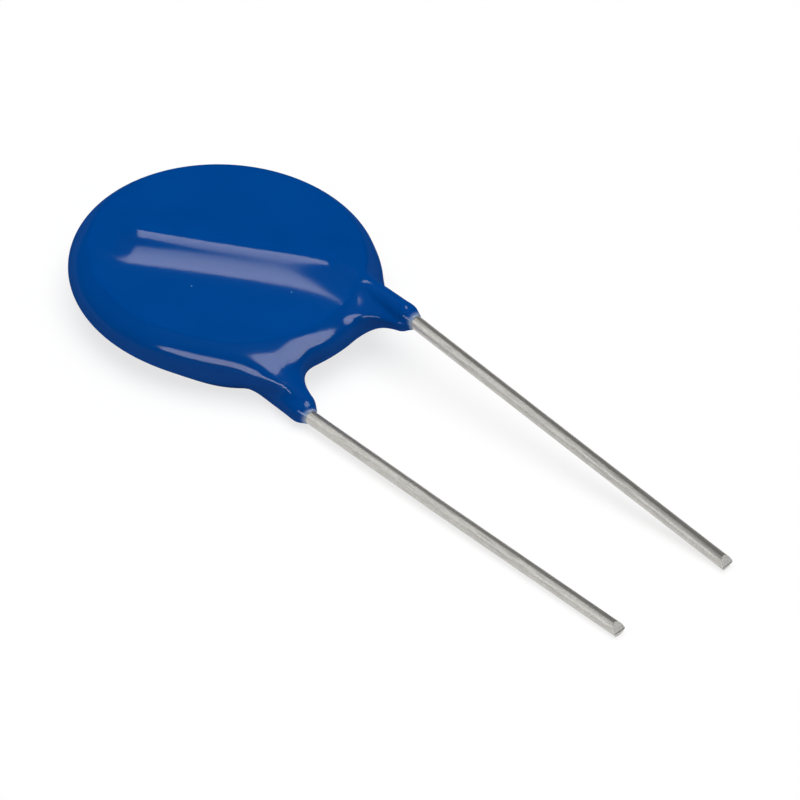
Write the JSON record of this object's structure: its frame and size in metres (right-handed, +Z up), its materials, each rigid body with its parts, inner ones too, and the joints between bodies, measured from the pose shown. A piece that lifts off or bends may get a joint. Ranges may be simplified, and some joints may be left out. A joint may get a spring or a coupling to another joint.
{
  "type": "metal oxide varistor",
  "caption": "Radial disc varistor: a ceramic disc dipped in glossy blue epoxy, with a raised ridge over the slanting wire and bare tinned wire leads, for clamping mains surges.",
  "frame": {"origin": "on the table that the part lies on, under the middle of its outer box", "axes": "+Z is up, square to the disc's faces; +Y runs from the lead tips to the far side of the disc; +X is the side of the front lead, whose ridge is on the upper face"},
  "size_m": [0.0222, 0.0554, 0.0054],
  "materials": {
    "blue_epoxy": "glossy, smooth dip coat",
    "zinc_oxide": "matte, sintered",
    "silver": "satin, screen printed",
    "solder": "satin, reflowed",
    "tinned_wire": "satin, with fine lengthwise drawing marks"
  },
  "bodies": {
    "root": {"epoxy_coating": "blue_epoxy", "zinc_oxide_disc": "zinc_oxide", "front_electrode": "silver", "rear_electrode": "silver", "front_solder": "solder", "rear_solder": "solder", "front_lead": "tinned_wire", "rear_lead": "tinned_wire"}
  },
  "joints": []
}
